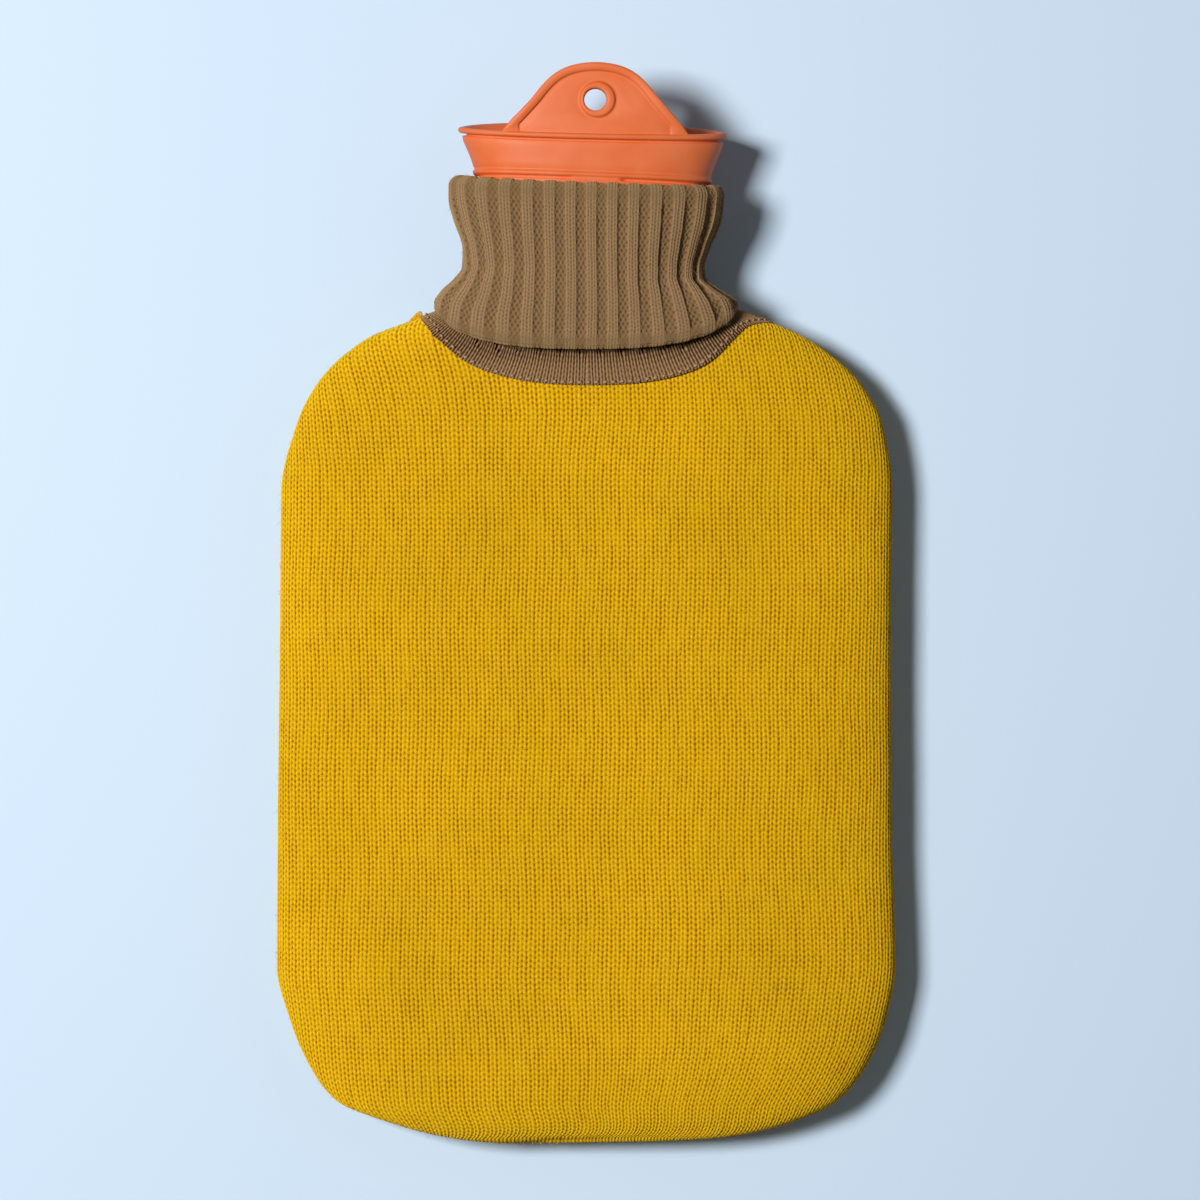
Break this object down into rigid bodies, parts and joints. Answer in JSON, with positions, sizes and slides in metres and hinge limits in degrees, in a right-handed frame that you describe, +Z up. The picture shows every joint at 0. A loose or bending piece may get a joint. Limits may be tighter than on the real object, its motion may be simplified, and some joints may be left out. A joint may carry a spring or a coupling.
{
  "type": "hot water bottle in a knitted cover",
  "caption": "Plump knitted hot water bottle cover with a folded ribbed collar, fitted on a rubber bottle with a flared mouth and a hanging tab.",
  "frame": {"origin": "on the flat back that lies on the table, under the middle of the cover", "axes": "+Y from the foot to the mouth, +Z up from the table through the front, +X to the right seen from above"},
  "size_m": [0.2017, 0.3485, 0.0482],
  "materials": {
    "yellow_yarn": "fine stockinette knitting in mustard yellow yarn",
    "brown_yarn": "ribbed and plain knitting in taupe brown yarn",
    "rubber": "satin moulded orange rubber"
  },
  "bodies": {
    "root": {"body_front": "yellow_yarn", "body_back": "yellow_yarn", "neck_band": "brown_yarn", "roll_collar": "brown_yarn", "bottle": "rubber", "hanging_tab": "rubber"}
  },
  "joints": []
}
